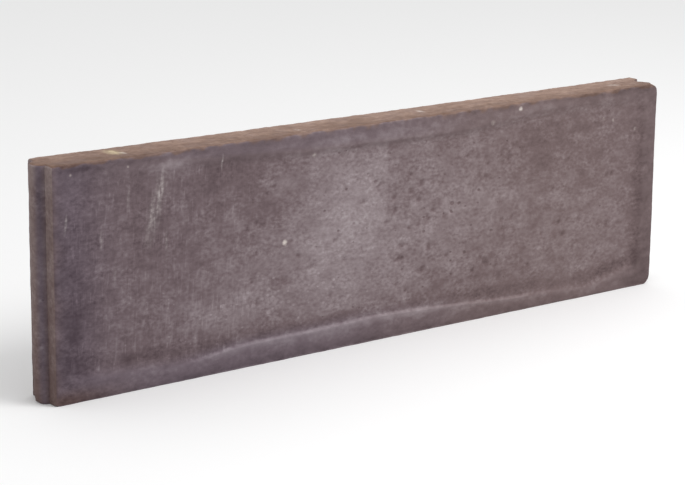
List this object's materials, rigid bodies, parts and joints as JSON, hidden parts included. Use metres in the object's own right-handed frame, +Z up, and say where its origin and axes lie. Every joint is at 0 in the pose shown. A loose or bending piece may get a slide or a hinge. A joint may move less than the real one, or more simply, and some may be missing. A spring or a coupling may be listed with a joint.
{
  "type": "concrete kerb stone",
  "caption": "Precast concrete edging kerb with a half-round tongue and groove on its ends and a shallow sunk panel in its front face, set on edge to border paving.",
  "frame": {"origin": "middle of the bed face, halfway between the shoulders and halfway through the thickness", "axes": "+X along the kerb from the tongue end to the groove end, +Y through the thickness from the panelled front face to the plain back face, +Z up"},
  "size_m": [1.0125, 0.06, 0.3],
  "materials": {
    "concrete": "cast grey-brown concrete, matt and slightly gritty, with stains and scuffs"
  },
  "bodies": {
    "root": {"kerb_stone": "concrete"}
  },
  "joints": []
}
